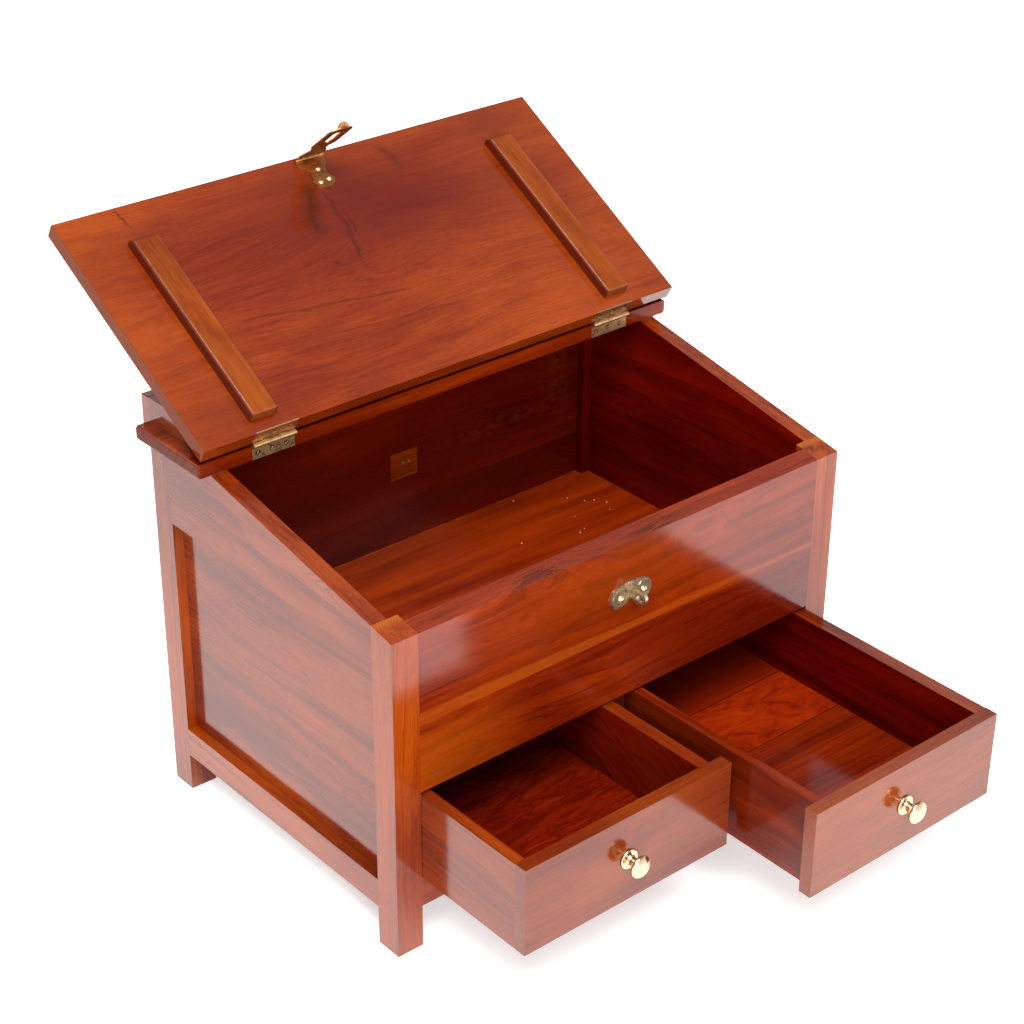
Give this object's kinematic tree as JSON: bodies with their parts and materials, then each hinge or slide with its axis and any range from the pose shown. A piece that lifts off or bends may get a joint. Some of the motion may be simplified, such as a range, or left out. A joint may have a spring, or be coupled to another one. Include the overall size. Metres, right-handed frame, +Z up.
{
  "type": "desk box",
  "caption": "Slant-lid wooden writing box on corner-post feet, with a lidded compartment, drawers below, a gallery behind the lid, and brass knobs, hinges, hasp and staple.",
  "frame": {"origin": "on the floor, under the centre of the whole object's bounding box with the lid open and the drawers standing out as in the rest pose", "axes": "+X to the right seen from the front, -Y towards the front where the drawers come out, +Z up"},
  "size_m": [0.549, 0.7264, 0.5827],
  "materials": {
    "wood_case": "glossy clear-lacquered reddish hardwood, long straight grain, light sapwood streaks",
    "wood_panel": "glossy clear-lacquered reddish hardwood, grain running along the panel",
    "wood_top": "glossy clear-lacquered reddish hardwood, slightly lighter ends",
    "wood_lid": "glossy clear-lacquered reddish hardwood, wide board with darker streaks",
    "wood_batten": "glossy clear-lacquered hardwood, more golden than the lid",
    "wood_drawer": "glossy clear-lacquered reddish hardwood",
    "wood_drawer_bottom": "clear-lacquered figured boards of different tone side by side",
    "wood_inside": "clear-lacquered reddish hardwood, darker, inside faces",
    "brass_bright": "polished brass",
    "brass_aged": "lightly tarnished stamped brass",
    "brass_screw": "brass screws with slotted heads",
    "steel_nail": "small nail heads"
  },
  "bodies": {
    "case": {"back_board_lower": "wood_case", "back_board_upper": "wood_inside", "back_bottom_rail": "wood_case", "back_wall_patch": "wood_inside", "compartment_floor": "wood_inside", "drawer_divider": "wood_inside", "drawer_runner_centre": "wood_inside", "drawer_runner_left": "wood_inside", "drawer_runner_right": "wood_inside", "front_board_lower": "wood_case", "front_board_upper": "wood_case", "front_bottom_rail": "wood_case", "gallery_back": "wood_top", "gallery_side_left": "wood_top", "gallery_side_right": "wood_top", "hinge_case_leaf_left": "brass_aged", "hinge_case_leaf_right": "brass_aged", "hinge_case_screws": "brass_screw", "hinge_pin_left": "brass_aged", "hinge_pin_right": "brass_aged", "patch_nails": "steel_nail", "post_back_left": "wood_case", "post_back_right": "wood_case", "post_front_left": "wood_case", "post_front_right": "wood_case", "side_bottom_rail_left": "wood_case", "side_bottom_rail_right": "wood_case", "side_panel_left": "wood_panel", "side_panel_right": "wood_panel", "side_top_rail_left": "wood_case", "side_top_rail_right": "wood_case", "staple": "brass_aged", "staple_screws": "brass_screw", "top_board": "wood_top"},
    "drawer_left": {"drawer_left_back": "wood_drawer", "drawer_left_bottom": "wood_drawer_bottom", "drawer_left_front": "wood_drawer", "drawer_left_knob": "brass_bright", "drawer_left_side_left": "wood_drawer", "drawer_left_side_right": "wood_drawer"},
    "drawer_right": {"drawer_right_back": "wood_drawer", "drawer_right_bottom": "wood_drawer_bottom", "drawer_right_front": "wood_drawer", "drawer_right_knob": "brass_bright", "drawer_right_side_left": "wood_drawer", "drawer_right_side_right": "wood_drawer"},
    "lid": {"hasp_pin": "brass_aged", "hasp_plate": "brass_aged", "hasp_screws": "brass_screw", "hinge_lid_leaf_left": "brass_aged", "hinge_lid_leaf_right": "brass_aged", "hinge_lid_screws": "brass_screw", "lid_batten_left": "wood_batten", "lid_batten_right": "wood_batten", "lid_board": "wood_lid"},
    "hasp": {"hasp_strap": "brass_aged"}
  },
  "joints": [
    {"name": "lid_hinge", "type": "hinge", "parent": "case", "child": "lid", "pos_m": [0, 0.1343, 0.3828], "axis": [1, 0, 0], "range_deg": [0, 159.85]},
    {"name": "hasp_swing", "type": "hinge", "parent": "lid", "child": "hasp", "pos_m": [0.0042, 0.35064, 0.53184], "axis": [1, 0, 0], "range_deg": [-46, 0]},
    {"name": "drawer_left_slide", "type": "slide", "parent": "case", "child": "drawer_left", "axis": [0, -1, 0], "range_m": [-0.1333, 0.1167]},
    {"name": "drawer_right_slide", "type": "slide", "parent": "case", "child": "drawer_right", "axis": [0, -1, 0], "range_m": [-0.2311, 0.0189]}
  ],
  "couplings": [
    {"joint": "hasp_swing", "follows": "lid_hinge", "ratio": -0.2875}
  ]
}
